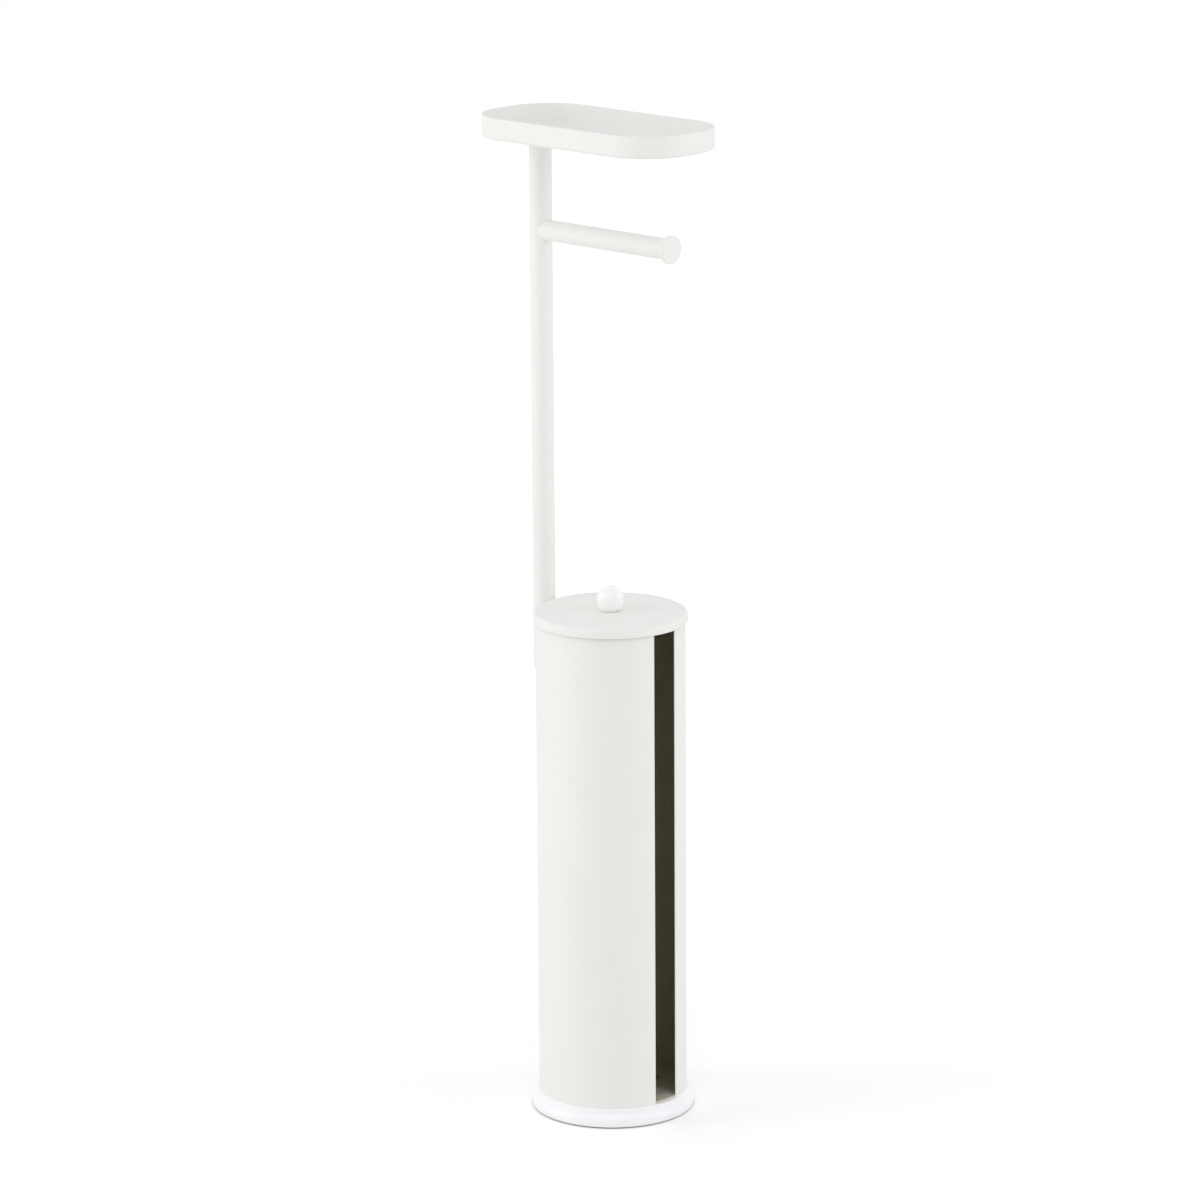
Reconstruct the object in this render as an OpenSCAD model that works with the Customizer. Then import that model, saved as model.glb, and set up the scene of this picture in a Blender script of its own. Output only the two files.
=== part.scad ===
// Free-standing bathroom holder: a round base, a slotted column with a lift-off lid,
// and a pole behind it that carries an arm and a tray.
// Millimetres. The floor is at z 0 and the origin is the centre of the base.
// The column's slot and the arm face -Y, and the pole stands behind the column at +Y.

/* [Base] */
// Diameter of the base where it stands
base_d = 150; // [145:1:160]
// Height of the base, up to the step that the column stands on
base_h = 17; // [14:0.5:20]
// Thickness of the base cover's sheet
base_wall = 1.2; // [0.8:0.1:1.5]
// How far the upright ring at the top of the base stands out round the column's foot
base_ring_w = 2.1; // [1.5:0.1:3]
// Height of the upright ring
base_ring_h = 3.7; // [2.5:0.1:5]
// Radius of the ring's rounded upper edge
base_ring_edge_r = 0.8; // [0.3:0.1:1]
// Radius of the hollow between the ring and the flare
base_cove_r = 1.5; // [0.5:0.1:2]
// Height of the upright edge below the base's flare
base_edge_h = 3.5; // [1:0.1:4.5]
// Gap between the steel weight and the inside of the base cover
weight_gap = 4; // [3:0.5:7]
// Thickness of the weight's web under a floor screw's head
weight_web = 1.5; // [1:0.1:2]
// Clearance round and under a screw head that is sunk in the weight
head_recess = 0.5; // [0.4:0.1:0.8]
// Thickness of the rubber foot pad glued under the weight
pad_t = 2; // [1.5:0.1:3]
// How far the foot pad holds the base's edge off the floor
pad_proud = 1.5; // [0.3:0.1:1.8]
// Width of the weight's rim that the foot pad leaves bare
pad_margin = 3; // [2:0.5:8]

/* [Column] */
// Outside diameter of the column
column_d = 137; // [130:1:140]
// Height of the column's wall above the base
column_h = 452.5; // [340:0.5:560]
// Thickness of the column's sheet
column_wall_t = 1; // [0.8:0.1:1.5]
// Width of the slot down the column's front
slot_w = 27; // [16:1:45]
// Thickness of the column's floor plate
floor_t = 2; // [1.5:0.1:3]
// Diameter of the circle that the floor screws lie on
floor_screw_circle_d = 80; // [60:1:84]
// Number of floor screws
floor_screw_count = 3; // [3:1:5]

/* [Lid] */
// Gap between the column and the lid's skirt
lid_gap = 1.3; // [0.3:0.1:1.5]
// Height of the lid, from the lower edge of its skirt to its top
lid_h = 9; // [8:0.5:14]
// Thickness of the lid's sheet
lid_wall = 1; // [0.8:0.1:1]
// Radius of the lid's rounded upper edge
lid_edge_r = 4; // [2.5:0.5:5]
// Thickness of the ring's flange, which rests on the column
ring_flange_t = 2.5; // [2:0.1:4]
// Width of the ring's flange
ring_flange_w = 8.5; // [6:0.5:14]
// Depth that the ring reaches down into the column
ring_depth = 5; // [3:0.5:6]
// Thickness of the ring where it reaches into the column
ring_wall = 2.5; // [1.5:0.1:4]
// Clearance round the ring inside the column
ring_clear = 0.6; // [0.4:0.1:1]
// Diameter of the knob
knob_d = 24.8; // [22:0.1:32]
// Height of the knob above the lid
knob_h = 22.5; // [19:0.5:25]
// Radius of the knob's rounded upper and lower edges, which leave a short straight belt between them
knob_edge_r = 10.6; // [6:0.1:11]
// How much of the knob's rounded underside is cut off flat
knob_flat = 3.1; // [0.5:0.1:4]

/* [Pole] */
// Outside diameter of the pole
pole_d = 20.5; // [19:0.5:25]
// Wall thickness of the pole
pole_wall = 1.2; // [1:0.1:1.5]
// Length of the pole tube that lies behind the column
pole_overlap = 60; // [56:1:120]
// Height of the tray's underside, where the pole ends
tray_z = 901.5; // [880:0.5:1000]
// Thickness of the spacers between the column and the pole
spacer_t = 5; // [4:0.5:8]
// Width of a spacer
spacer_w = 16; // [12:0.5:18]
// Height of a spacer
spacer_h = 14; // [12:0.5:16]
// Distance from the pole's lower end up to its lower screw
pole_screw_rise = 16; // [14:1:20]
// Distance between the two screws that hold the pole
pole_screw_pitch = 27; // [20:1:27]
// Thickness of the pole's end cap below the tube
end_cap_h = 7.5; // [6.5:0.5:10]
// Radius of the end cap's rounded lower edge
end_cap_edge_r = 6; // [3:0.5:6]
// Length of the end cap's stem inside the pole
end_cap_stem = 10; // [6:0.5:10]

/* [Arm] */
// Outside diameter of the arm
arm_d = 19; // [16:0.5:19]
// Wall thickness of the arm
arm_wall = 1.2; // [1:0.1:1.5]
// Distance from the tray's underside down to the arm's centre
arm_drop = 87; // [70:1:150]
// Distance from the pole's centre to the face of the arm's end disc
arm_reach = 161.5; // [140:0.5:180]
// Diameter of the arm's end disc
disc_d = 25.5; // [22:0.5:34]
// Thickness of the arm's end disc
disc_t = 3; // [2:0.5:6]
// Radius of the end disc's rounded edge
disc_edge_r = 1; // [0.4:0.1:1]
// Length of the end disc's stem inside the arm
disc_stem = 14; // [8:1:30]
// Length of the threaded plug in the arm's root
arm_plug_l = 24; // [16:1:40]
// Thickness of the saddle inside the pole, under the arm screw's head
saddle_t = 3.6; // [3:0.1:5]
// Depth of the cover that closes the arm screw's way in through the pole's back
cover_depth = 4; // [3.7:0.1:6]

/* [Tray] */
// Length of the tray, front to back
tray_l = 233; // [200:1:260]
// Width of the tray
tray_w = 113; // [100:1:130]
// Height of the tray
tray_h = 20; // [12:1:35]
// Corner radius of the tray's outline
tray_corner_r = 47; // [20:1:49]
// Thickness of the tray's sheet
tray_wall = 1.2; // [1:0.1:2]
// Radius of the tray's rounded lower edge
tray_edge_r = 3; // [2.5:0.5:6]
// Distance from the pole's centre to the tray's back end
tray_back = 45.5; // [35:0.5:60]
// Length of the plug in the pole's upper end
top_plug_l = 20; // [14:1:30]
// Distance between the two tray screws
tray_screw_pitch = 9; // [8:0.5:9]

/* [Screws] */
// Thread diameter of the floor and pole screws
m5_d = 5; // [4.5:0.1:5]
// Length of the floor screws
floor_screw_l = 10; // [8:1:11]
// Length of the pole screws
pole_screw_l = 16; // [14:1:18]
// Thread diameter of the arm screw
m6_d = 6; // [5:0.5:6]
// Length of the arm screw
arm_screw_l = 22; // [20:1:26]
// Thread diameter of the tray and knob screws
m4_d = 4; // [3:0.5:4]
// Length of the tray screws
tray_screw_l = 10; // [8:1:12]
// Length of the knob screw
knob_screw_l = 12; // [8:1:14]
// Height of the screw heads as a share of the thread diameter
head_rise = 0.6; // [0.5:0.05:0.65]
// Diameter of the threaded inserts' barrel
insert_d = 7; // [6.5:0.1:7.5]
// Length of the threaded inserts' barrel
insert_l = 9; // [8:0.5:9]
// Diameter of the threaded inserts' flange
insert_flange_d = 10; // [9:0.5:11]
// Thickness of the threaded inserts' flange
insert_flange_t = 0.8; // [0.6:0.1:1]
// Thickness of the washer under the knob screw
washer_t = 0.8; // [0.5:0.1:1.2]
// Diameter of the washer under the knob screw
washer_d = 12; // [10:0.5:16]

/* [Clearances] */
// Radial clearance of a screw in its thread
thread_gap = 0.05; // [0.02:0.01:0.1]
// Radial clearance of a screw in a plain hole
hole_gap = 0.2; // [0.1:0.05:0.3]
// Gap between two pieces that are fitted or glued together
seat_gap = 0.05; // [0.02:0.01:0.1]

/* [Hidden] */
$fn = 96;

// How far a cut runs past the face that it opens
past = 1;

base_r = base_d / 2;
column_r = column_d / 2;
column_bore_r = column_r - column_wall_t;
ring_r = column_r + base_ring_w;
ring_foot_z = base_h - base_ring_h;
flare_z = pad_proud + base_edge_h;
flare_w = base_r - ring_r;
flare_h = ring_foot_z - flare_z;
// The flare is an arc that leaves the edge straight up, and the hollow turns it straight up again at the ring
flare_turn = 2 * atan(flare_w / flare_h);
flare_r = flare_h / sin(flare_turn) - base_cove_r;
flare_x = base_r - flare_r;
cove_x = ring_r + base_cove_r;
weight_top_z = base_h - base_wall;
weight_r = ring_r - base_wall - weight_gap;

m5_head_d = 1.9 * m5_d;
m6_head_d = 1.9 * m6_d;
m4_head_d = 2 * m4_d;
m5_head_h = head_rise * m5_d;
floor_screw_z = pad_t + head_recess + m5_head_h;
floor_top_z = base_h + floor_t;
insert_hole_d = insert_d + 2 * hole_gap;
head_hole_d = m5_head_d + 2 * head_recess;

column_top_z = base_h + column_h;
lid_r = column_r + lid_gap + lid_wall;
lid_under_z = column_top_z + ring_flange_t;
lid_top_z = lid_under_z + lid_wall;
lid_low_z = lid_top_z - lid_h;
ring_outer_r = column_bore_r - ring_clear;
knob_r = knob_d / 2;

pole_r = pole_d / 2;
pole_bore_r = pole_r - pole_wall;
pole_y = column_r + spacer_t + pole_r;
pole_front_y = pole_y - pole_r;
pole_low_z = column_top_z - pole_overlap;
pole_screw_z = [pole_low_z + pole_screw_rise, pole_low_z + pole_screw_rise + pole_screw_pitch];
// The flat bearing face of a screw's head stands this far off the column's curved inside
head_stand_off = column_bore_r - sqrt(pow(column_bore_r, 2) - pow(m5_head_d / 2, 2)) + seat_gap;

arm_r = arm_d / 2;
arm_bore_r = arm_r - arm_wall;
arm_z = tray_z - arm_drop;
disc_back_y = pole_y - arm_reach + disc_t;
saddle_y = pole_y - pole_bore_r + saddle_t;
cover_hole_d = m6_head_d + 2 * head_recess;
saddle_d = cover_hole_d - 2 * hole_gap;

tray_mid_y = pole_y + tray_back - tray_l / 2;
tray_floor_z = tray_z + tray_wall;
tray_straight_w = tray_w - 2 * tray_corner_r;
tray_straight_l = tray_l - 2 * tray_corner_r;

// Turns a piece that is drawn along +Z so that it points to the front, -Y
module facing_front() {
    rotate([90, 0, 0])
        children();
}

// Turns a piece that is drawn along +Z so that it points to the back, +Y
module facing_back() {
    rotate([-90, 0, 0])
        children();
}

// Copies a piece round the upright axis
module round_axis(count, radius, first) {
    for (i = [0 : count - 1])
        rotate(first + i * 360 / count)
            translate([radius, 0, 0])
                children();
}

// Half section of a disc with its upper edge rounded, from z 0 up
module round_edge_section(r, h, edge_r) {
    square([r - edge_r, h]);
    square([r, h - edge_r]);
    translate([r - edge_r, h - edge_r])
        circle(edge_r);
}

// Pan head screw with a cross recess: the head is above z 0 and the shank below
module pan_screw(d, length, head_d) {
    head_h = head_rise * d;
    difference() {
        union() {
            rotate_extrude()
                intersection() {
                    round_edge_section(head_d / 2, head_h, head_h / 2);
                    square([head_d / 2, head_h]);
                }
            translate([0, 0, -length])
                cylinder(d = d, h = length);
        }
        for (a = [0, 90])
            rotate(a)
                translate([-head_d * 0.28, -d * 0.09, head_h * 0.45])
                    cube([head_d * 0.56, d * 0.18, head_h]);
    }
}

// Threaded insert: the flange is above z 0 and the barrel below
module insert(bore_d) {
    difference() {
        union() {
            cylinder(d = insert_flange_d, h = insert_flange_t);
            translate([0, 0, -insert_l])
                cylinder(d = insert_d, h = insert_l);
        }
        translate([0, 0, -insert_l - past])
            cylinder(d = bore_d + 2 * thread_gap, h = insert_l + insert_flange_t + 2 * past);
    }
}

// The pole's outline as a solid, grown or drawn in by a gap, for the pieces that fit it
module pole_space(gap) {
    translate([0, pole_y, pole_low_z])
        cylinder(r = pole_r + gap, h = tray_z - pole_low_z);
}

// Half section of the base, drawn in by a sheet's thickness
module base_section(inset) {
    edge_r = base_ring_edge_r - inset;
    height = base_h - inset - pad_proud;
    translate([0, pad_proud]) {
        square([base_r - inset, base_edge_h]);
        if (edge_r > 0)
            round_edge_section(ring_r - inset, height, edge_r);
        else
            square([ring_r - inset, height]);
    }
    translate([flare_x, flare_z])
        intersection() {
            circle(flare_r - inset);
            translate([0, -base_edge_h / 2])
                square(2 * flare_r);
        }
    difference() {
        polygon([[flare_x, flare_z], [cove_x, ring_foot_z], [flare_x, ring_foot_z]]);
        translate([cove_x, ring_foot_z])
            circle(base_cove_r + inset);
    }
}

// Half section of the lid, drawn in by a sheet's thickness
module lid_section(inset) {
    translate([0, lid_low_z])
        round_edge_section(lid_r - inset, lid_h - inset, lid_edge_r - inset);
}

// Section of the tray's rim with a strip of its floor: x runs outwards and y up
module rim_section(reach) {
    bend_r = tray_edge_r - tray_wall;
    square([reach - tray_edge_r, tray_wall]);
    translate([reach - tray_wall, tray_edge_r])
        square([tray_wall, tray_h - tray_edge_r]);
    translate([reach - tray_edge_r, tray_edge_r])
        difference() {
            intersection() {
                circle(tray_edge_r);
                translate([0, -tray_edge_r])
                    square(tray_edge_r);
            }
            circle(bend_r);
        }
}

module base_shell() {
    color("white")
        difference() {
            rotate_extrude()
                difference() {
                    base_section(0);
                    base_section(base_wall);
                    translate([0, pad_proud - past])
                        square([base_r - base_wall, 2 * past]);
                }
            round_axis(floor_screw_count, floor_screw_circle_d / 2, 90)
                translate([0, 0, weight_top_z - past])
                    cylinder(d = insert_hole_d, h = base_wall + 2 * past);
        }
}

module base_weight() {
    color("dimgray")
        difference() {
            translate([0, 0, pad_t])
                cylinder(r = weight_r, h = weight_top_z - pad_t);
            round_axis(floor_screw_count, floor_screw_circle_d / 2, 90) {
                translate([0, 0, pad_t - past])
                    cylinder(d = head_hole_d, h = floor_screw_z - pad_t + past);
                cylinder(d = m5_d + 2 * hole_gap, h = base_h);
                translate([0, 0, floor_screw_z + weight_web])
                    cylinder(d = insert_hole_d, h = base_h);
            }
        }
}

module foot_pad() {
    color("darkgray")
        difference() {
            cylinder(r = weight_r - pad_margin, h = pad_t);
            round_axis(floor_screw_count, floor_screw_circle_d / 2, 90)
                translate([0, 0, -past])
                    cylinder(d = head_hole_d, h = pad_t + 2 * past);
        }
}

module base_screws() {
    color("silver")
        round_axis(floor_screw_count, floor_screw_circle_d / 2, 90)
            translate([0, 0, floor_screw_z])
                mirror([0, 0, 1])
                    pan_screw(m5_d, floor_screw_l, m5_head_d);
}

module column_wall() {
    color("white")
        difference() {
            translate([0, 0, base_h])
                cylinder(r = column_r, h = column_h);
            translate([0, 0, base_h - past])
                cylinder(r = column_bore_r, h = column_h + 2 * past);
            translate([-slot_w / 2, -column_r - past, base_h - past])
                cube([slot_w, column_r, column_h + 2 * past]);
            for (z = pole_screw_z)
                translate([0, 0, z])
                    facing_back()
                        cylinder(d = m5_d + 2 * hole_gap, h = column_r + past);
        }
}

module column_floor() {
    color("gainsboro")
        difference() {
            translate([0, 0, base_h])
                cylinder(r = column_bore_r - seat_gap, h = floor_t);
            round_axis(floor_screw_count, floor_screw_circle_d / 2, 90)
                translate([0, 0, base_h - past])
                    cylinder(d = insert_d + 2 * seat_gap, h = floor_t + 2 * past);
        }
}

module floor_inserts() {
    color("silver")
        round_axis(floor_screw_count, floor_screw_circle_d / 2, 90)
            translate([0, 0, floor_top_z])
                insert(m5_d);
}

module lid_cap() {
    color("white")
        difference() {
            rotate_extrude()
                difference() {
                    lid_section(0);
                    lid_section(lid_wall);
                    translate([0, lid_low_z - past])
                        square([lid_r - lid_wall, 2 * past]);
                }
            translate([0, 0, lid_under_z - past])
                cylinder(d = m4_d + 2 * hole_gap, h = lid_wall + 2 * past);
        }
}

module lid_ring() {
    flange_outer_r = column_r + hole_gap;
    color("whitesmoke")
        rotate_extrude() {
            intersection() {
                lid_section(lid_wall + seat_gap);
                translate([flange_outer_r - ring_flange_w, column_top_z])
                    square([ring_flange_w, ring_flange_t]);
            }
            translate([ring_outer_r - ring_wall, column_top_z - ring_depth])
                square([ring_wall, ring_depth + ring_flange_t / 2]);
        }
}

module lid_knob() {
    color("white")
        translate([0, 0, lid_top_z])
            difference() {
                rotate_extrude()
                    intersection() {
                        round_edge_section(knob_r, knob_h, knob_edge_r);
                        translate([0, knob_h])
                            mirror([0, 1])
                                round_edge_section(knob_r, knob_h + knob_flat, knob_edge_r);
                        square([knob_r, knob_h]);
                    }
                translate([0, 0, -past])
                    cylinder(d = m4_d + 2 * thread_gap, h = knob_screw_l + past);
            }
}

module knob_screw() {
    color("silver")
        translate([0, 0, lid_under_z - washer_t])
            mirror([0, 0, 1])
                pan_screw(m4_d, knob_screw_l, m4_head_d);
}

module knob_washer() {
    color("silver")
        translate([0, 0, lid_under_z - washer_t])
            difference() {
                cylinder(d = washer_d, h = washer_t);
                translate([0, 0, -past])
                    cylinder(d = m4_d + 2 * hole_gap, h = washer_t + 2 * past);
            }
}

module pole_tube() {
    color("white")
        difference() {
            pole_space(0);
            translate([0, pole_y, pole_low_z - past])
                cylinder(r = pole_bore_r, h = tray_z - pole_low_z + 2 * past);
            for (z = pole_screw_z)
                translate([0, pole_front_y - past, z])
                    facing_back()
                        cylinder(d = insert_d + 2 * seat_gap, h = pole_r);
            translate([0, pole_front_y - past, arm_z])
                facing_back()
                    cylinder(d = m6_d + 2 * hole_gap, h = pole_r);
            translate([0, pole_y, arm_z])
                facing_back()
                    cylinder(d = cover_hole_d, h = pole_r + past);
        }
}

module pole_end_cap() {
    color("white")
        translate([0, pole_y, pole_low_z]) {
            mirror([0, 0, 1])
                rotate_extrude()
                    intersection() {
                        round_edge_section(pole_r, end_cap_h, end_cap_edge_r);
                        square([pole_r, end_cap_h]);
                    }
            cylinder(r = pole_bore_r - seat_gap, h = end_cap_stem);
        }
}

module pole_spacers() {
    hug = spacer_w / 5;
    color("whitesmoke")
        for (z = pole_screw_z)
            difference() {
                translate([-spacer_w / 2, 0, z - spacer_h / 2])
                    cube([spacer_w, pole_front_y + hug, spacer_h]);
                cylinder(r = column_r + seat_gap, h = 2 * z);
                pole_space(seat_gap);
                translate([0, 0, z])
                    facing_back()
                        cylinder(d = m5_d + 2 * hole_gap, h = pole_y);
                translate([0, pole_front_y - insert_flange_t - seat_gap, z])
                    facing_back()
                        cylinder(d = insert_flange_d + 2 * hole_gap, h = pole_r);
            }
}

module pole_screws() {
    color("silver")
        for (z = pole_screw_z)
            translate([0, column_bore_r - head_stand_off, z])
                facing_front()
                    pan_screw(m5_d, pole_screw_l, m5_head_d);
}

module pole_inserts() {
    color("silver")
        for (z = pole_screw_z)
            translate([0, pole_front_y, z])
                facing_front()
                    insert(m5_d);
}

module pole_top_plug() {
    color("silver")
        difference() {
            translate([0, pole_y, tray_z - top_plug_l])
                cylinder(r = pole_bore_r - seat_gap, h = top_plug_l);
            for (side = [-1, 1])
                translate([side * tray_screw_pitch / 2, pole_y, tray_z - top_plug_l - past])
                    cylinder(d = m4_d + 2 * thread_gap, h = top_plug_l + 2 * past);
        }
}

module arm_tube() {
    color("white")
        difference() {
            translate([0, pole_y, arm_z])
                facing_front()
                    difference() {
                        cylinder(r = arm_r, h = arm_reach - disc_t);
                        translate([0, 0, -past])
                            cylinder(r = arm_bore_r, h = arm_reach + past);
                    }
            pole_space(seat_gap);
        }
}

module arm_end_disc() {
    color("white")
        translate([0, disc_back_y, arm_z])
            facing_front() {
                rotate_extrude()
                    intersection() {
                        round_edge_section(disc_d / 2, disc_t, disc_edge_r);
                        square([disc_d / 2, disc_t]);
                    }
                translate([0, 0, -disc_stem])
                    cylinder(r = arm_bore_r - seat_gap, h = disc_stem);
            }
}

module arm_plug() {
    color("silver")
        difference() {
            translate([0, pole_y, arm_z])
                facing_front()
                    cylinder(r = arm_bore_r - seat_gap, h = pole_r + arm_plug_l);
            pole_space(seat_gap);
            translate([0, pole_y, arm_z])
                facing_front()
                    cylinder(d = m6_d + 2 * thread_gap, h = pole_r + arm_plug_l + past);
        }
}

module arm_screw() {
    color("silver")
        translate([0, saddle_y, arm_z])
            facing_back()
                pan_screw(m6_d, arm_screw_l, m6_head_d);
}

module arm_saddle() {
    color("whitesmoke")
        difference() {
            intersection() {
                pole_space(-pole_wall - seat_gap);
                translate([0, pole_front_y, arm_z])
                    facing_back()
                        cylinder(d = saddle_d, h = pole_wall + saddle_t);
            }
            translate([0, pole_front_y, arm_z])
                facing_back()
                    cylinder(d = m6_d + 2 * hole_gap, h = pole_r);
        }
}

module arm_cover() {
    color("white")
        intersection() {
            pole_space(0);
            translate([0, pole_y + pole_r - cover_depth, arm_z])
                facing_back()
                    cylinder(d = cover_hole_d - 2 * seat_gap, h = cover_depth);
        }
}

module tray() {
    color("white")
        difference() {
            translate([0, tray_mid_y, tray_z]) {
                for (x = [-1, 1], y = [-1, 1])
                    mirror([x < 0 ? 1 : 0, 0, 0])
                        mirror([0, y < 0 ? 1 : 0, 0])
                            translate([tray_straight_w / 2, tray_straight_l / 2, 0])
                                rotate_extrude(angle = 90)
                                    rim_section(tray_corner_r);
                for (side = [0, 1])
                    mirror([side, 0, 0])
                        translate([0, tray_straight_l / 2, 0])
                            rotate([90, 0, 0])
                                linear_extrude(tray_straight_l)
                                    rim_section(tray_w / 2);
                for (side = [0, 1])
                    mirror([0, side, 0])
                        translate([-tray_straight_w / 2, 0, 0])
                            rotate([90, 0, 90])
                                linear_extrude(tray_straight_w)
                                    rim_section(tray_l / 2);
            }
            for (side = [-1, 1])
                translate([side * tray_screw_pitch / 2, pole_y, tray_z - past])
                    cylinder(d = m4_d + 2 * hole_gap, h = tray_wall + 2 * past);
        }
}

module tray_screws() {
    color("silver")
        for (side = [-1, 1])
            translate([side * tray_screw_pitch / 2, pole_y, tray_floor_z])
                pan_screw(m4_d, tray_screw_l, m4_head_d);
}

base_shell();
base_weight();
foot_pad();
base_screws();
column_wall();
column_floor();
floor_inserts();
lid_cap();
lid_ring();
lid_knob();
knob_screw();
knob_washer();
pole_tube();
pole_end_cap();
pole_spacers();
pole_screws();
pole_inserts();
pole_top_plug();
arm_tube();
arm_end_disc();
arm_plug();
arm_screw();
arm_saddle();
arm_cover();
tray();
tray_screws();
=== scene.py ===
import math

import bmesh
import bpy
from mathutils import Matrix, Vector


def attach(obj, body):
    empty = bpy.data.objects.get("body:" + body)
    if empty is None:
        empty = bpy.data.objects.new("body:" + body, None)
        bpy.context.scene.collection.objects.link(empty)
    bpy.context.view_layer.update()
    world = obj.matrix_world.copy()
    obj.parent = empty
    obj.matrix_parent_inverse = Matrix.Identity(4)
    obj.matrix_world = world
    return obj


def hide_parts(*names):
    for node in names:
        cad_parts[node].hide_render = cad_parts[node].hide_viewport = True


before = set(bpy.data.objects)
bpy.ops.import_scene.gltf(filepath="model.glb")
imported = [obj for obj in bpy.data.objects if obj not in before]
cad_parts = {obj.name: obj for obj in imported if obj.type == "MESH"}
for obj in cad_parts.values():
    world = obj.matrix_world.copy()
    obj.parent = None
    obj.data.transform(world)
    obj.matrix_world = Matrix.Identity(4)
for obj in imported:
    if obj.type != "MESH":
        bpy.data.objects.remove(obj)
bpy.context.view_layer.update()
bpy.ops.object.select_all(action="DESELECT")
print("frame loaded")

mm = 0.001
past = 2  # how far a cutter runs past the wall that it opens, in millimetres
snap = 0.002  # points closer than this are one point, in millimetres
near = 0.01  # what lies this close to a height is at it, in millimetres
straight = 0.99  # a face looks straight along an axis where its normal reaches this


# Finishes

colorA, colorB, mixedColor = 6, 7, 2  # the colour inputs and the colour output of a Mix node, by number
noiseSpan = (0.3, 0.7)  # nearly all of a noise texture lies between these
cellSpan = (0.0, 0.8)  # and nearly all of a cell texture's distances between these
plainWhite = (1, 1, 1, 1)


def linearColor(hexValue):
    # sRGB hex to the linear colour that a shader takes
    channels = [int(hexValue[i:i + 2], 16) / 255 for i in (1, 3, 5)]
    linear = [c / 12.92 if c <= 0.04045 else ((c + 0.055) / 1.055) ** 2.4 for c in channels]
    return (*linear, 1.0)


def addNode(tree, kind, links=None, **settings):
    node = tree.nodes.new("ShaderNode" + kind)
    for name, value in settings.items():
        setattr(node, name, value)
    for socket, value in (links or {}).items():
        if isinstance(value, bpy.types.NodeSocket):
            tree.links.new(value, node.inputs[socket])
        else:
            node.inputs[socket].default_value = value
    return node


def newFinish(name, **sockets):
    material = bpy.data.materials.new(name)
    material.use_nodes = True
    tree = material.node_tree
    shader = tree.nodes["Principled BSDF"]
    for socket, value in sockets.items():
        shader.inputs[socket.replace("_", " ")].default_value = value
    place = addNode(tree, "TexCoord").outputs["Object"]
    return material, tree, shader, place


def perMetre(size):
    # A texture's scale is the number of its cells in a metre
    return 1 / (size * mm)


def layFinish(tree, shader, look, tint, gloss, relief, span=noiseSpan):
    # Each pattern runs from the first to the second of a pair of shades or roughnesses, or stands up as relief
    shades = [linearColor(shade) for shade in look["shades"]]
    color = addNode(tree, "Mix", {0: tint, colorA: shades[0], colorB: shades[1]}, data_type="RGBA")
    tree.links.new(color.outputs[mixedColor], shader.inputs["Base Color"])
    low, high = look["roughness"]
    rough = addNode(tree, "MapRange", {0: gloss, 1: span[0], 2: span[1], 3: low, 4: high})
    tree.links.new(rough.outputs[0], shader.inputs["Roughness"])
    bump = addNode(tree, "Bump", {"Height": relief, "Distance": look["reliefHeight"] * mm,
                                  "Strength": look.get("reliefStrength", 1.0)})
    tree.links.new(bump.outputs[0], shader.inputs["Normal"])
    return color.outputs[mixedColor]


coatLook = {
    "shades": ("#F1F1EF", "#EDEDEB"), "cloudSize": 55, "cloudDetail": 3.0,
    "peelSize": 2.4, "peelDetail": 1.5, "reliefHeight": 0.006, "roughness": (0.54, 0.64),
}


def makePowderCoat():
    # Polyester powder coat, sprayed and baked on sheet steel: an even satin with a faint orange peel, and a
    # cloudiness of one shade that the eye reads as a sprayed skin
    look = coatLook
    material, tree, shader, place = newFinish("powderCoat", IOR=1.5)
    cloud = addNode(tree, "TexNoise", {"Vector": place, "Scale": perMetre(look["cloudSize"]),
                                       "Detail": look["cloudDetail"]}).outputs[0]
    peel = addNode(tree, "TexNoise", {"Vector": place, "Scale": perMetre(look["peelSize"]),
                                      "Detail": look["peelDetail"]}).outputs[0]
    layFinish(tree, shader, look, cloud, peel, peel)
    return material


enamelLook = {
    "shades": ("#FBFCFF", "#F7F8FB"), "cloudSize": 40, "cloudDetail": 2.0,
    "waveSize": 5.0, "waveDetail": 1.0, "reliefHeight": 0.003, "roughness": (0.30, 0.36),
}


def makeBaseEnamel():
    # Stoved enamel on the pressed base cover: whiter, cooler and glossier than the column's coat
    look = enamelLook
    material, tree, shader, place = newFinish("baseEnamel", IOR=1.52, Coat_Weight=0.25, Coat_Roughness=0.18)
    cloud = addNode(tree, "TexNoise", {"Vector": place, "Scale": perMetre(look["cloudSize"]),
                                       "Detail": look["cloudDetail"]}).outputs[0]
    wave = addNode(tree, "TexNoise", {"Vector": place, "Scale": perMetre(look["waveSize"]),
                                      "Detail": look["waveDetail"]}).outputs[0]
    layFinish(tree, shader, look, cloud, wave, wave)
    return material


resinLook = {
    "shades": ("#FFFFFA", "#FAFAF3"), "cloudSize": 7, "cloudDetail": 3.0,
    "waveSize": 1.8, "waveDetail": 2.0, "reliefHeight": 0.008, "roughness": (0.34, 0.42),
    "soakWeight": 0.9, "soakDepth": 6, "soakColors": (1.0, 0.93, 0.80),
}


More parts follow.
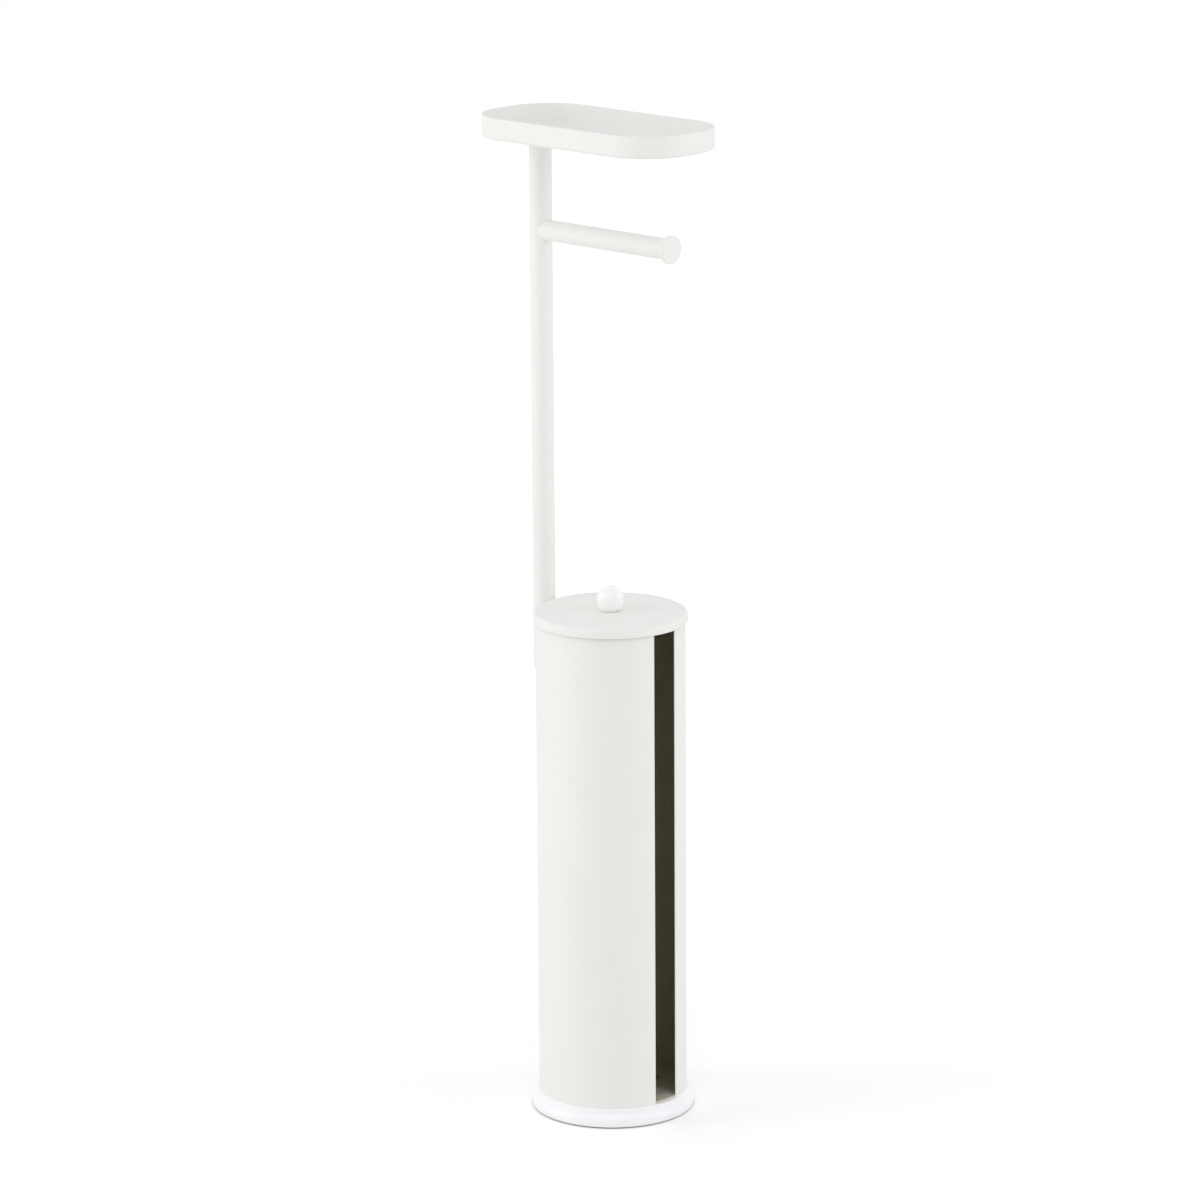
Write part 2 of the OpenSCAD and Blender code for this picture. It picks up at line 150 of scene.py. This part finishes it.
def makeKnobResin():
    # Ball cast in white polyester resin and lacquered: satin, and light soaks into it a few millimetres,
    # so that its underside stays bright and a little warm
    look = resinLook
    material, tree, shader, place = newFinish(
        "lacqueredResin", IOR=1.52, Coat_Weight=0.5, Coat_Roughness=0.25, Subsurface_Weight=look["soakWeight"],
        Subsurface_Radius=look["soakColors"], Subsurface_Scale=look["soakDepth"] * mm)
    cloud = addNode(tree, "TexNoise", {"Vector": place, "Scale": perMetre(look["cloudSize"]),
                                       "Detail": look["cloudDetail"]}).outputs[0]
    wave = addNode(tree, "TexNoise", {"Vector": place, "Scale": perMetre(look["waveSize"]),
                                      "Detail": look["waveDetail"]}).outputs[0]
    layFinish(tree, shader, look, cloud, wave, wave)
    return material


plasticLook = {
    "shades": ("#ECECEA", "#E6E6E3"), "cloudSize": 12, "cloudDetail": 2.0,
    "sparkSize": 0.9, "reliefHeight": 0.010, "reliefStrength": 0.8, "roughness": (0.48, 0.60),
}


def makeMouldedPlastic():
    # Injection-moulded polypropylene with a spark-eroded mould skin, which the eye reads as an even fine matt
    look = plasticLook
    material, tree, shader, place = newFinish("whitePolypropylene", IOR=1.49)
    cloud = addNode(tree, "TexNoise", {"Vector": place, "Scale": perMetre(look["cloudSize"]),
                                       "Detail": look["cloudDetail"]}).outputs[0]
    # The real pits are about 0.1 mm across; they are drawn coarser so that they show
    spark = addNode(tree, "TexVoronoi", {"Vector": place, "Scale": perMetre(look["sparkSize"])}).outputs[0]
    layFinish(tree, shader, look, cloud, spark, spark, span=cellSpan)
    return material


# The two dark shades are painted shade for the inside of the column
paintedShadeLook = {
    "shades": ("#B2AC94", "#A29C84"), "cloudSize": 30, "cloudDetail": 4.0,
    "speckSize": 2.0, "speckDetail": 2.0, "reliefHeight": 0.02, "roughness": (0.62, 0.78),
    "overspray": "#E3E2DC", "wrapWidth": 7, "slotHalf": 13.5, "top": 469.5,
}


def makePaintedShadeCoat():
    # Painted shade: a dark olive-brown colour that paints in the deep shade inside the column, with white
    # overspray where the spray wrapped round the edges
    look = paintedShadeLook
    material, tree, shader, place = newFinish("insidePaintedShade", IOR=1.48)
    cloud = addNode(tree, "TexNoise", {"Vector": place, "Scale": perMetre(look["cloudSize"]),
                                       "Detail": look["cloudDetail"]}).outputs[0]
    speck = addNode(tree, "TexNoise", {"Vector": place, "Scale": perMetre(look["speckSize"]),
                                       "Detail": look["speckDetail"]}).outputs[0]
    paintedShadeBase = layFinish(tree, shader, look, cloud, speck, speck)
    # The overspray fades out away from the slot's two edges and from the top edge, and is broken up by clouds
    x, y, z = addNode(tree, "SeparateXYZ", {0: place}).outputs
    side = addNode(tree, "Math", {0: x}, operation="ABSOLUTE")
    slotFade = addNode(tree, "MapRange", {0: side.outputs[0], 1: look["slotHalf"] * mm,
                                          2: (look["slotHalf"] + look["wrapWidth"]) * mm, 3: 1.0, 4: 0.0})
    front = addNode(tree, "Math", {0: y, 1: 0.0}, operation="LESS_THAN")
    slotWrap = addNode(tree, "Math", {0: slotFade.outputs[0], 1: front.outputs[0]}, operation="MULTIPLY")
    topWrap = addNode(tree, "MapRange", {0: z, 1: (look["top"] - look["wrapWidth"]) * mm,
                                         2: look["top"] * mm, 3: 0.0, 4: 1.0})
    wrap = addNode(tree, "Math", {0: slotWrap.outputs[0], 1: topWrap.outputs[0]}, operation="MAXIMUM")
    broken = addNode(tree, "Math", {0: wrap.outputs[0], 1: cloud}, operation="MULTIPLY")
    color = addNode(tree, "Mix", {0: broken.outputs[0], colorA: paintedShadeBase,
                                  colorB: linearColor(look["overspray"])}, data_type="RGBA")
    tree.links.new(color.outputs[mixedColor], shader.inputs["Base Color"])
    return material


zincLook = {
    "shades": ("#D2D5D9", "#B4B7BA"), "hazeSize": 3.0, "hazeDetail": 3.0,
    "scratchSize": 0.5, "scratchDetail": 2.0, "reliefHeight": 0.004, "roughness": (0.26, 0.42),
}


def makeZincPlate():
    # Steel screws and inserts, barrel plated in bright zinc: a cool grey metal with a fine tumbled haze
    look = zincLook
    material, tree, shader, place = newFinish("zincPlate", Metallic=1.0)
    haze = addNode(tree, "TexNoise", {"Vector": place, "Scale": perMetre(look["hazeSize"]),
                                      "Detail": look["hazeDetail"]}).outputs[0]
    scratch = addNode(tree, "TexNoise", {"Vector": place, "Scale": perMetre(look["scratchSize"]),
                                         "Detail": look["scratchDetail"]}).outputs[0]
    layFinish(tree, shader, look, haze, scratch, scratch)
    return material


steelLook = {
    "shades": ("#3A3B3E", "#55575A"), "scaleSize": 14, "scaleDetail": 6.0, "scaleGrit": 0.65,
    "pitSize": 1.2, "pitDetail": 3.0, "reliefHeight": 0.05, "roughness": (0.38, 0.62),
}


def makeOiledSteel():
    # Hot-rolled steel disc, cut and oiled: dark blue-grey mill scale with lighter rubbed places
    look = steelLook
    material, tree, shader, place = newFinish("oiledSteel", Metallic=1.0)
    scale = addNode(tree, "TexNoise", {"Vector": place, "Scale": perMetre(look["scaleSize"]),
                                       "Detail": look["scaleDetail"],
                                       "Roughness": look["scaleGrit"]}).outputs[0]
    pits = addNode(tree, "TexNoise", {"Vector": place, "Scale": perMetre(look["pitSize"]),
                                      "Detail": look["pitDetail"]}).outputs[0]
    layFinish(tree, shader, look, scale, scale, pits)
    return material


rubberLook = {
    "shades": ("#2A2A2B", "#363636"), "cellSize": 1.1, "reliefHeight": 0.06, "roughness": (0.80, 0.92),
}


def makeFoamRubber():
    # Closed-cell EVA foam pad: dark, quite matt, with a skin of small cut cells
    look = rubberLook
    material, tree, shader, place = newFinish("foamRubber", IOR=1.49)
    cells = addNode(tree, "TexVoronoi", {"Vector": place, "Scale": perMetre(look["cellSize"])}).outputs[0]
    layFinish(tree, shader, look, cells, cells, cells, span=cellSpan)
    return material


powderCoat = makePowderCoat()
baseEnamel = makeBaseEnamel()
knobResin = makeKnobResin()
mouldedPlastic = makeMouldedPlastic()
paintedShadeCoat = makePaintedShadeCoat()
zincPlate = makeZincPlate()
oiledSteel = makeOiledSteel()
foamRubber = makeFoamRubber()
print("finishes made")


# Modelling helpers: lengths are in millimetres until a mesh takes them

def makeActive(piece):
    bpy.ops.object.select_all(action="DESELECT")
    piece.select_set(True)
    bpy.context.view_layer.objects.active = piece


def settlePlace():
    # Takes place, turn and scale into the mesh, so that the object sits at the origin
    bpy.ops.object.transform_apply(location=True, rotation=True, scale=True)


def editPoints(action="SELECT"):
    bpy.ops.object.mode_set(mode="EDIT")
    bpy.ops.mesh.select_mode(type="VERT")
    bpy.ops.mesh.select_all(action=action)


def faceOutwards():
    bpy.ops.mesh.select_all(action="SELECT")
    bpy.ops.mesh.remove_doubles(threshold=snap * mm)
    bpy.ops.mesh.normals_make_consistent(inside=False)
    bpy.ops.object.mode_set(mode="OBJECT")


def pickParts(piece, kind, isWanted):
    # Selects the edges or the faces that pass the test
    bpy.ops.mesh.select_mode(type=kind)
    bpy.ops.mesh.select_all(action="DESELECT")
    mesh = bmesh.from_edit_mesh(piece.data)
    parts = mesh.edges if kind == "EDGE" else mesh.faces
    for part in parts:
        part.select = isWanted(part)
    mesh.select_flush_mode()
    bmesh.update_edit_mesh(piece.data)


def applyModifier(piece, kind, **settings):
    makeActive(piece)
    modifier = piece.modifiers.new(kind.title(), kind)
    for name, value in settings.items():
        setattr(modifier, name, value)
    bpy.ops.object.modifier_apply(modifier=modifier.name)


def giveWall(piece, sheet, **settings):
    applyModifier(piece, "SOLIDIFY", thickness=sheet * mm, offset=-1, use_even_offset=True, **settings)


def roundEdges(piece, width, steps, sharpAngle=30):
    applyModifier(piece, "BEVEL", width=width * mm, segments=steps, limit_method="ANGLE",
                  angle_limit=math.radians(sharpAngle))


def cutWith(piece, radius, start, end, sides=64):
    # Takes a round hole out of a piece, from one point to another
    start, end = Vector(start) * mm, Vector(end) * mm
    turn = (end - start).to_track_quat("Z", "Y").to_euler()
    bpy.ops.mesh.primitive_cylinder_add(vertices=sides, radius=radius * mm, depth=(end - start).length,
                                        location=(start + end) / 2, rotation=turn)
    cutter = bpy.context.object
    applyModifier(piece, "BOOLEAN", object=cutter, operation="DIFFERENCE", solver="MANIFOLD")
    bpy.data.objects.remove(cutter)


def arcPoints(centerRadius, centerHeight, arcRadius, startAngle, endAngle, steps):
    angles = [math.radians(startAngle + (endAngle - startAngle) * i / steps) for i in range(steps + 1)]
    return [(centerRadius + arcRadius * math.cos(a), centerHeight + arcRadius * math.sin(a)) for a in angles]


def turnPiece(name, profile, segments):
    # Turns a half section, given as (radius, height), by extruding a ring from point to point
    radius, height = profile[0]
    bpy.ops.mesh.primitive_circle_add(vertices=segments, radius=radius * mm, location=(0, 0, height * mm))
    piece = bpy.context.object
    piece.name = name
    settlePlace()
    editPoints()
    for nextRadius, nextHeight in profile[1:]:
        rise = (0, 0, (nextHeight - height) * mm)
        bpy.ops.mesh.extrude_region_move(TRANSFORM_OT_translate={"value": rise})
        if nextRadius:
            growth = nextRadius / radius
            bpy.ops.transform.resize(value=(growth, growth, 1), center_override=(0, 0, nextHeight * mm))
        else:
            bpy.ops.mesh.merge(type="CENTER")
        radius, height = nextRadius, nextHeight
    faceOutwards()
    return piece


def capOpenEnd(piece):
    makeActive(piece)
    editPoints("DESELECT")
    bpy.ops.mesh.select_non_manifold()
    bpy.ops.mesh.edge_face_add()
    faceOutwards()


def placePiece(piece, location, quarterTurn=False):
    # Sets a piece where it goes; the quarter turn lays what was drawn upwards down to the front
    makeActive(piece)
    piece.location = Vector(location) * mm
    if quarterTurn:
        piece.rotation_euler = (math.radians(90), 0, 0)
    settlePlace()


def finishPiece(piece, body, node, finishes, smoothAngle=32):
    # Where the piece has material slots already, the finishes go into them
    makeActive(piece)
    piece.data.name = piece.name
    for i, finish in enumerate(finishes):
        if i < len(piece.data.materials):
            piece.data.materials[i] = finish
        else:
            piece.data.materials.append(finish)
    bpy.ops.object.shade_smooth_by_angle(angle=math.radians(smoothAngle))
    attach(piece, body)
    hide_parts(node)
    print("made", piece.name)


# Base

baseCoverSize = {
    "segments": 224, "edgeRadius": 75.0, "foot": 1.5, "edgeTop": 5.0, "flareSteps": 12,
    "ringRadius": 70.6, "ringFoot": 13.3, "coveRadius": 1.5, "coveSteps": 5,
    "ringEdge": 0.8, "ringEdgeSteps": 4,
    "top": 17.0, "topRings": (62, 46, 30, 12), "sheet": 1.2, "edgeRound": 0.35, "edgeRoundSteps": 3,
    "screwCircle": 40.0, "screwHole": 3.7, "screws": 3, "firstScrew": 90,
}


def makeBaseCover():
    size = baseCoverSize
    # The flare leaves the edge upright, turns in, and a small cove turns it upright again at the ring
    spread, rise = size["edgeRadius"] - size["ringRadius"], size["ringFoot"] - size["edgeTop"]
    turn = 2 * math.atan2(spread, rise)
    flareRadius = rise / math.sin(turn) - size["coveRadius"]
    turn = math.degrees(turn)
    ringEdge, ringTop = size["ringEdge"], size["top"] - size["ringEdge"]
    profile = [(size["edgeRadius"], size["foot"])]
    profile += arcPoints(size["edgeRadius"] - flareRadius, size["edgeTop"], flareRadius, 0, turn,
                         size["flareSteps"])
    profile += arcPoints(size["ringRadius"] + size["coveRadius"], size["ringFoot"], size["coveRadius"],
                         180 + turn, 180, size["coveSteps"])[1:]
    profile += arcPoints(size["ringRadius"] - ringEdge, ringTop, ringEdge, 0, 90, size["ringEdgeSteps"])
    profile += [(radius, size["top"]) for radius in (*size["topRings"], 0)]
    piece = turnPiece("baseCover", profile, size["segments"])
    giveWall(piece, size["sheet"])
    roundEdges(piece, size["edgeRound"], size["edgeRoundSteps"])
    for i in range(size["screws"]):
        angle = math.radians(size["firstScrew"] + 360 * i / size["screws"])
        x, y = size["screwCircle"] * math.cos(angle), size["screwCircle"] * math.sin(angle)
        cutWith(piece, size["screwHole"], (x, y, size["top"] - size["sheet"] - past),
                (x, y, size["top"] + past))
    finishPiece(piece, "stand", "base_shell", [baseEnamel])


# Column

columnSize = {
    "segments": 240, "radius": 68.5, "foot": 17.0, "top": 469.5, "sheet": 1.0, "slotHalf": 13.5,
    "edgeRound": 0.3, "edgeRoundSteps": 3, "footTrim": 2.0,
    "screwHole": 2.7, "screwHeights": (425.5, 452.5), "screwCut": 10,
}


def makeColumn():
    size = columnSize
    height = size["top"] - size["foot"] + size["footTrim"]
    middle = size["top"] - height / 2
    bpy.ops.mesh.primitive_cylinder_add(vertices=size["segments"], radius=size["radius"] * mm,
                                        depth=height * mm, end_fill_type="NOTHING",
                                        location=(0, 0, middle * mm))
    piece = bpy.context.object
    piece.name = "columnWall"
    settlePlace()
    editPoints()
    for side in (-1, 1):
        bpy.ops.mesh.select_all(action="SELECT")
        bpy.ops.mesh.bisect(plane_co=(side * size["slotHalf"] * mm, 0, 0), plane_no=(1, 0, 0),
                            threshold=snap * mm)

    def isInSlot(face):
        center = face.calc_center_median() / mm
        return abs(center.x) < size["slotHalf"] and center.y < 0

    pickParts(piece, "FACE", isInSlot)
    bpy.ops.mesh.delete(type="FACE")
    faceOutwards()
    # The inner face takes the dark coat of painted shade
    piece.data.materials.append(powderCoat)
    piece.data.materials.append(paintedShadeCoat)
    giveWall(piece, size["sheet"], material_offset=1, material_offset_rim=0)
    roundEdges(piece, size["edgeRound"], size["edgeRoundSteps"])
    # The foot is trimmed off square, so that it stands on the base with no groove round it
    editPoints()
    bpy.ops.mesh.bisect(plane_co=(0, 0, size["foot"] * mm), plane_no=(0, 0, 1), clear_inner=True, use_fill=True,
                        threshold=snap * mm)
    faceOutwards()
    for height in size["screwHeights"]:
        cutWith(piece, size["screwHole"], (0, size["radius"] - size["screwCut"], height),
                (0, size["radius"] + past, height))
    finishPiece(piece, "stand", "column_wall", [powderCoat, paintedShadeCoat])


# Lid

lidCapSize = {
    "segments": 240, "radius": 70.8, "foot": 464.0, "top": 473.0, "topRings": (50, 25, 8), "edge": 4.0,
    "edgeSteps": 8, "sheet": 1.0, "edgeRound": 0.3, "edgeRoundSteps": 3, "screwHole": 2.2,
}


def makeLidCap():
    size = lidCapSize
    shoulder = size["top"] - size["edge"]
    profile = [(size["radius"], size["foot"])]
    profile += arcPoints(size["radius"] - size["edge"], shoulder, size["edge"], 0, 90, size["edgeSteps"])
    profile += [(radius, size["top"]) for radius in (*size["topRings"], size["screwHole"])]
    piece = turnPiece("lidCap", profile, size["segments"])
    giveWall(piece, size["sheet"])
    roundEdges(piece, size["edgeRound"], size["edgeRoundSteps"])
    finishPiece(piece, "lid", "lid_cap", [powderCoat])


lidKnobSize = {
    "segments": 96, "radius": 12.4, "foot": 473.0, "height": 22.5, "edge": 10.6, "flat": 3.1, "edgeSteps": 20,
    "screwHole": 2.05, "holeDepth": 12.0,
}


def makeLidKnob():
    # A slightly flattened ball: two wide roundings with a short straight belt between them, the lower one cut
    # off by the flat foot
    size = lidKnobSize
    edge, top = size["edge"], size["foot"] + size["height"]
    lowAngle = math.degrees(math.asin(1 - size["flat"] / edge))
    profile = arcPoints(size["radius"] - edge, size["foot"] + edge - size["flat"], edge, -lowAngle, 0,
                        size["edgeSteps"])
    profile += arcPoints(size["radius"] - edge, top - edge, edge, 0, 90, size["edgeSteps"]) + [(0, top)]
    piece = turnPiece("lidKnob", profile, size["segments"])
    capOpenEnd(piece)
    bpy.ops.object.mode_set(mode="EDIT")
    footRadius = profile[0][0]

    def isFoot(face):
        height = face.calc_center_median().z / mm
        return abs(height - size["foot"]) < near and face.normal.z < -straight

    pickParts(piece, "FACE", isFoot)
    bpy.ops.mesh.inset(thickness=(footRadius - size["screwHole"]) * mm)
    bpy.ops.mesh.extrude_region_move(TRANSFORM_OT_translate={"value": (0, 0, size["holeDepth"] * mm)})
    bpy.ops.object.mode_set(mode="OBJECT")
    finishPiece(piece, "lid", "lid_knob", [knobResin])


# Pole and arm

poleSize = {
    "segments": 96, "radius": 10.25, "sheet": 1.2, "y": 83.75, "foot": 409.5, "top": 901.5,
    "edgeRound": 0.25, "edgeRoundSteps": 2, "insertHole": 3.55, "insertHeights": (425.5, 452.5),
    "armHole": 3.2, "coverHole": 6.2, "armHeight": 814.5,
    "capFoot": 402.0, "capEdge": 6.0, "capEdgeSteps": 10, "capStem": 9.0, "capStemTop": 419.5,
}


def makePole():
    size = poleSize
    profile = [(size["radius"], size["foot"]), (size["radius"], size["top"])]
    piece = turnPiece("poleTube", profile, size["segments"])
    placePiece(piece, (0, size["y"], 0))
    giveWall(piece, size["sheet"])
    roundEdges(piece, size["edgeRound"], size["edgeRoundSteps"])
    middle, armHeight = size["y"], size["armHeight"]
    front, back = middle - size["radius"] - past, middle + size["radius"] + past
    for height in size["insertHeights"]:
        cutWith(piece, size["insertHole"], (0, front, height), (0, middle, height))
    cutWith(piece, size["armHole"], (0, front, armHeight), (0, middle, armHeight))
    cutWith(piece, size["coverHole"], (0, middle, armHeight), (0, back, armHeight))
    finishPiece(piece, "stand", "pole_tube", [powderCoat])


def makePoleEndCap():
    size = poleSize
    edge, edgeRound = size["capEdge"], size["edgeRound"]
    profile = [(size["capStem"], size["capStemTop"]), (size["capStem"], size["foot"])]
    profile += [(size["radius"] - edgeRound, size["foot"]), (size["radius"], size["foot"] - edgeRound)]
    profile += arcPoints(size["radius"] - edge, size["capFoot"] + edge, edge, 0, -90, size["capEdgeSteps"])
    profile += [(0, size["capFoot"])]
    piece = turnPiece("poleEndCap", profile, size["segments"])
    capOpenEnd(piece)
    placePiece(piece, (0, size["y"], 0))
    finishPiece(piece, "stand", "pole_end_cap", [mouldedPlastic])


armSize = {
    "segments": 96, "radius": 9.5, "sheet": 1.2, "height": 814.5, "reach": 158.5,
    "edgeRound": 0.25, "edgeRoundSteps": 2, "copeGap": 0.05, "copeMargin": 5, "copeSides": 128,
    "discRadius": 12.75, "discThickness": 3.0, "discEdge": 1.0, "discEdgeSteps": 5,
    "stemRadius": 8.25, "stem": 14.0,
}


def makeArm():
    size = armSize
    piece = turnPiece("armTube", [(size["radius"], 0), (size["radius"], size["reach"])], size["segments"])
    placePiece(piece, (0, poleSize["y"], size["height"]), quarterTurn=True)
    giveWall(piece, size["sheet"])
    roundEdges(piece, size["edgeRound"], size["edgeRoundSteps"])
    # The root is coped to sit round against the pole
    copeHalf = size["radius"] + size["copeMargin"]
    cutWith(piece, poleSize["radius"] + size["copeGap"], (0, poleSize["y"], size["height"] - copeHalf),
            (0, poleSize["y"], size["height"] + copeHalf), sides=size["copeSides"])
    finishPiece(piece, "stand", "arm_tube", [powderCoat])


def makeArmEndDisc():
    size = armSize
    reach, edge, edgeRound = size["reach"], size["discEdge"], size["edgeRound"]
    front = reach + size["discThickness"]
    profile = [(size["stemRadius"], reach - size["stem"]), (size["stemRadius"], reach)]
    profile += [(size["discRadius"] - edgeRound, reach), (size["discRadius"], reach + edgeRound)]
    profile += arcPoints(size["discRadius"] - edge, front - edge, edge, 0, 90, size["discEdgeSteps"])
    profile += [(0, front)]
    piece = turnPiece("armEndDisc", profile, size["segments"])
    capOpenEnd(piece)
    placePiece(piece, (0, poleSize["y"], size["height"]), quarterTurn=True)
    finishPiece(piece, "stand", "arm_end_disc", [powderCoat])


# Tray

traySize = {
    "length": 233.0, "width": 113.0, "middleY": 12.75, "foot": 901.5, "height": 20.0,
    "corner": 47.0, "cornerSteps": 28, "lowerEdge": 3.0, "lowerEdgeSteps": 8, "sheet": 1.2,
    "rimRound": 0.5, "rimRoundSteps": 4, "rimSharpAngle": 50, "screwHole": 2.2, "screwHalfPitch": 4.5,
}


def makeTray():
    size = traySize
    bpy.ops.mesh.primitive_plane_add(size=1, location=(0, size["middleY"] * mm, size["foot"] * mm))
    piece = bpy.context.object
    piece.name = "trayPan"
    piece.scale = (size["width"] * mm, size["length"] * mm, 1)
    settlePlace()
    editPoints()
    bpy.ops.mesh.bevel(offset=size["corner"] * mm, segments=size["cornerSteps"], affect="VERTICES")
    bpy.ops.mesh.select_mode(type="EDGE")
    bpy.ops.mesh.select_all(action="SELECT")
    bpy.ops.mesh.extrude_edges_move(TRANSFORM_OT_translate={"value": (0, 0, size["height"] * mm)})
    faceOutwards()
    bpy.ops.object.mode_set(mode="EDIT")
    pickParts(piece, "EDGE", lambda edge: all(end.co.z / mm < size["foot"] + near for end in edge.verts))
    bpy.ops.mesh.bevel(offset=size["lowerEdge"] * mm, segments=size["lowerEdgeSteps"], affect="EDGES")
    bpy.ops.object.mode_set(mode="OBJECT")
    giveWall(piece, size["sheet"])
    roundEdges(piece, size["rimRound"], size["rimRoundSteps"], size["rimSharpAngle"])
    low, high = size["foot"] - past, size["foot"] + size["sheet"] + past
    for x in (-size["screwHalfPitch"], size["screwHalfPitch"]):
        cutWith(piece, size["screwHole"], (x, poleSize["y"], low), (x, poleSize["y"], high))
    finishPiece(piece, "stand", "tray", [powderCoat])


makeBaseCover()
makeColumn()
makeLidCap()
makeLidKnob()
makePole()
makePoleEndCap()
makeArm()
makeArmEndDisc()
makeTray()

# The small pieces keep their own shape and take their real finish, but the column's floor takes the dark coat
# of painted shade
nodeFinishes = {
    "base_weight": oiledSteel, "foot_pad": foamRubber, "base_screws": zincPlate,
    "column_floor": paintedShadeCoat, "floor_inserts": zincPlate,
    "lid_ring": mouldedPlastic, "knob_screw": zincPlate, "knob_washer": zincPlate,
    "pole_spacers": mouldedPlastic, "pole_screws": zincPlate, "pole_inserts": zincPlate,
    "pole_top_plug": zincPlate, "arm_plug": zincPlate, "arm_screw": zincPlate,
    "arm_saddle": mouldedPlastic, "arm_cover": mouldedPlastic, "tray_screws": zincPlate,
}
for name, finish in nodeFinishes.items():
    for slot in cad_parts[name].material_slots:
        slot.material = finish
print("small pieces finished")


# Stage, lights and camera

def addSeenRays(tree):
    # 1 for what the camera sees, straight, mirrored or through glass, and 0 for light that falls on the object
    path = addNode(tree, "LightPath")
    seen = path.outputs["Is Camera Ray"]
    for ray in ("Is Glossy Ray", "Is Transmission Ray"):
        seen = addNode(tree, "Math", {0: seen, 1: path.outputs[ray]}, operation="MAXIMUM").outputs[0]
    return seen


def directionTo(azimuth, elevation):
    # Azimuth is turned from the front, at -Y, towards +X
    azimuth, elevation = math.radians(azimuth), math.radians(elevation)
    return Vector((math.sin(azimuth) * math.cos(elevation), -math.cos(azimuth) * math.cos(elevation),
                   math.sin(elevation)))


stageLook = {  # lengths in metres, and the paper's grain in millimetres
    "paper": "#F4F4F2", "paperGrain": "#F6F6F4", "paperLit": "#FFFFFF", "grainSize": 4, "grainDetail": 2.0,
    "floorSize": 12.0, "nearGlow": 0.08, "farGlow": 0.24, "nearTo": 0.15, "farTo": 2.2, "ambient": 0.79,
}


def makeFloor():
    look = stageLook
    bpy.ops.mesh.primitive_plane_add(size=look["floorSize"], location=(0, 0, 0))
    floor = bpy.context.object
    floor.name = "studioFloor"
    material, tree, shader, place = newFinish("paperFloor", Roughness=0.9, Specular_IOR_Level=0.0)
    grain = addNode(tree, "TexNoise", {"Vector": place, "Scale": perMetre(look["grainSize"]),
                                       "Detail": look["grainDetail"]})
    paper = addNode(tree, "Mix", {0: grain.outputs[0], colorA: linearColor(look["paper"]),
                                  colorB: linearColor(look["paperGrain"])}, data_type="RGBA")
    # Only the camera and reflections see the floor cleared to white. It gets less lamp light further out and
    # glows more there, and less round the foot, where the shadow stays
    seen = addSeenRays(tree)
    color = addNode(tree, "Mix", {0: seen, colorA: paper.outputs[mixedColor],
                                  colorB: linearColor(look["paperLit"])}, data_type="RGBA")
    tree.links.new(color.outputs[mixedColor], shader.inputs["Base Color"])
    distance = addNode(tree, "VectorMath", {0: place}, operation="LENGTH")
    rise = addNode(tree, "MapRange", {0: distance.outputs["Value"], 1: look["nearTo"], 2: look["farTo"],
                                      3: look["nearGlow"], 4: look["farGlow"]})
    glow = addNode(tree, "Math", {0: seen, 1: rise.outputs[0]}, operation="MULTIPLY")
    shader.inputs["Emission Color"].default_value = plainWhite
    tree.links.new(glow.outputs[0], shader.inputs["Emission Strength"])
    floor.data.materials.append(material)


def makeWorld():
    world = bpy.data.worlds.new("studioWorld")
    bpy.context.scene.world = world
    world.use_nodes = True
    tree = world.node_tree
    tree.nodes.clear()
    room = addNode(tree, "Background", {"Color": plainWhite, "Strength": stageLook["ambient"]})
    backdrop = addNode(tree, "Background", {"Color": plainWhite, "Strength": 1.0})
    mixed = addNode(tree, "MixShader", {0: addSeenRays(tree), 1: room.outputs[0], 2: backdrop.outputs[0]})
    addNode(tree, "OutputWorld", {"Surface": mixed.outputs[0]})


softboxAim = (0, 0, 0.5)  # lengths in metres, like those of the lamps
softboxes = {
    "leftSoftbox": {"azimuth": -128, "elevation": 12, "distance": 2.2, "size": (0.9, 1.9), "power": 10.2},
    "rightSoftbox": {"azimuth": 34, "elevation": 12, "distance": 2.2, "size": (0.9, 1.9), "power": 7.7},
    "frontSoftbox": {"azimuth": -46, "elevation": 50, "distance": 2.4, "size": (1.4, 1.4), "power": 4.6},
}


def makeSoftboxes():
    for name, box in softboxes.items():
        away = directionTo(box["azimuth"], box["elevation"])
        lamp = bpy.data.lights.new(name, "AREA")
        lamp.shape = "RECTANGLE"
        lamp.size, lamp.size_y = box["size"]
        lamp.energy = box["power"]
        softbox = bpy.data.objects.new(name, lamp)
        softbox.location = Vector(softboxAim) + away * box["distance"]
        softbox.rotation_euler = away.to_track_quat("Z", "Y").to_euler()
        bpy.context.scene.collection.objects.link(softbox)


cameraView = {  # lengths in millimetres
    "azimuth": -46.311, "elevation": 14.227, "roll": -0.366, "distance": 4570.154,
    "sideways": -9.338, "height": 482.583, "lens": 150.72, "sensor": 36, "clipEnd": 100000,
}


def makeCamera():
    # Looks past the axis by the sideways distance, at the given height
    view = cameraView
    azimuth, roll = math.radians(view["azimuth"]), math.radians(view["roll"])
    back = directionTo(view["azimuth"], view["elevation"])
    right = Vector((math.cos(azimuth), math.sin(azimuth), 0))
    up = back.cross(right)
    target = right * view["sideways"] + Vector((0, 0, view["height"]))
    right, up = right * math.cos(roll) + up * math.sin(roll), up * math.cos(roll) - right * math.sin(roll)
    data = bpy.data.cameras.new("productCamera")
    data.lens = view["lens"]
    data.sensor_width = view["sensor"]
    data.clip_end = view["clipEnd"] * mm
    camera = bpy.data.objects.new("productCamera", data)
    turn = Matrix((right, up, back)).transposed().to_4x4()
    camera.matrix_world = Matrix.Translation((target + back * view["distance"]) * mm) @ turn
    bpy.context.scene.collection.objects.link(camera)
    bpy.context.scene.camera = camera


makeFloor()
makeWorld()
makeSoftboxes()
makeCamera()
bpy.context.scene.view_settings.view_transform = "Standard"
print("stage, lights and camera set")
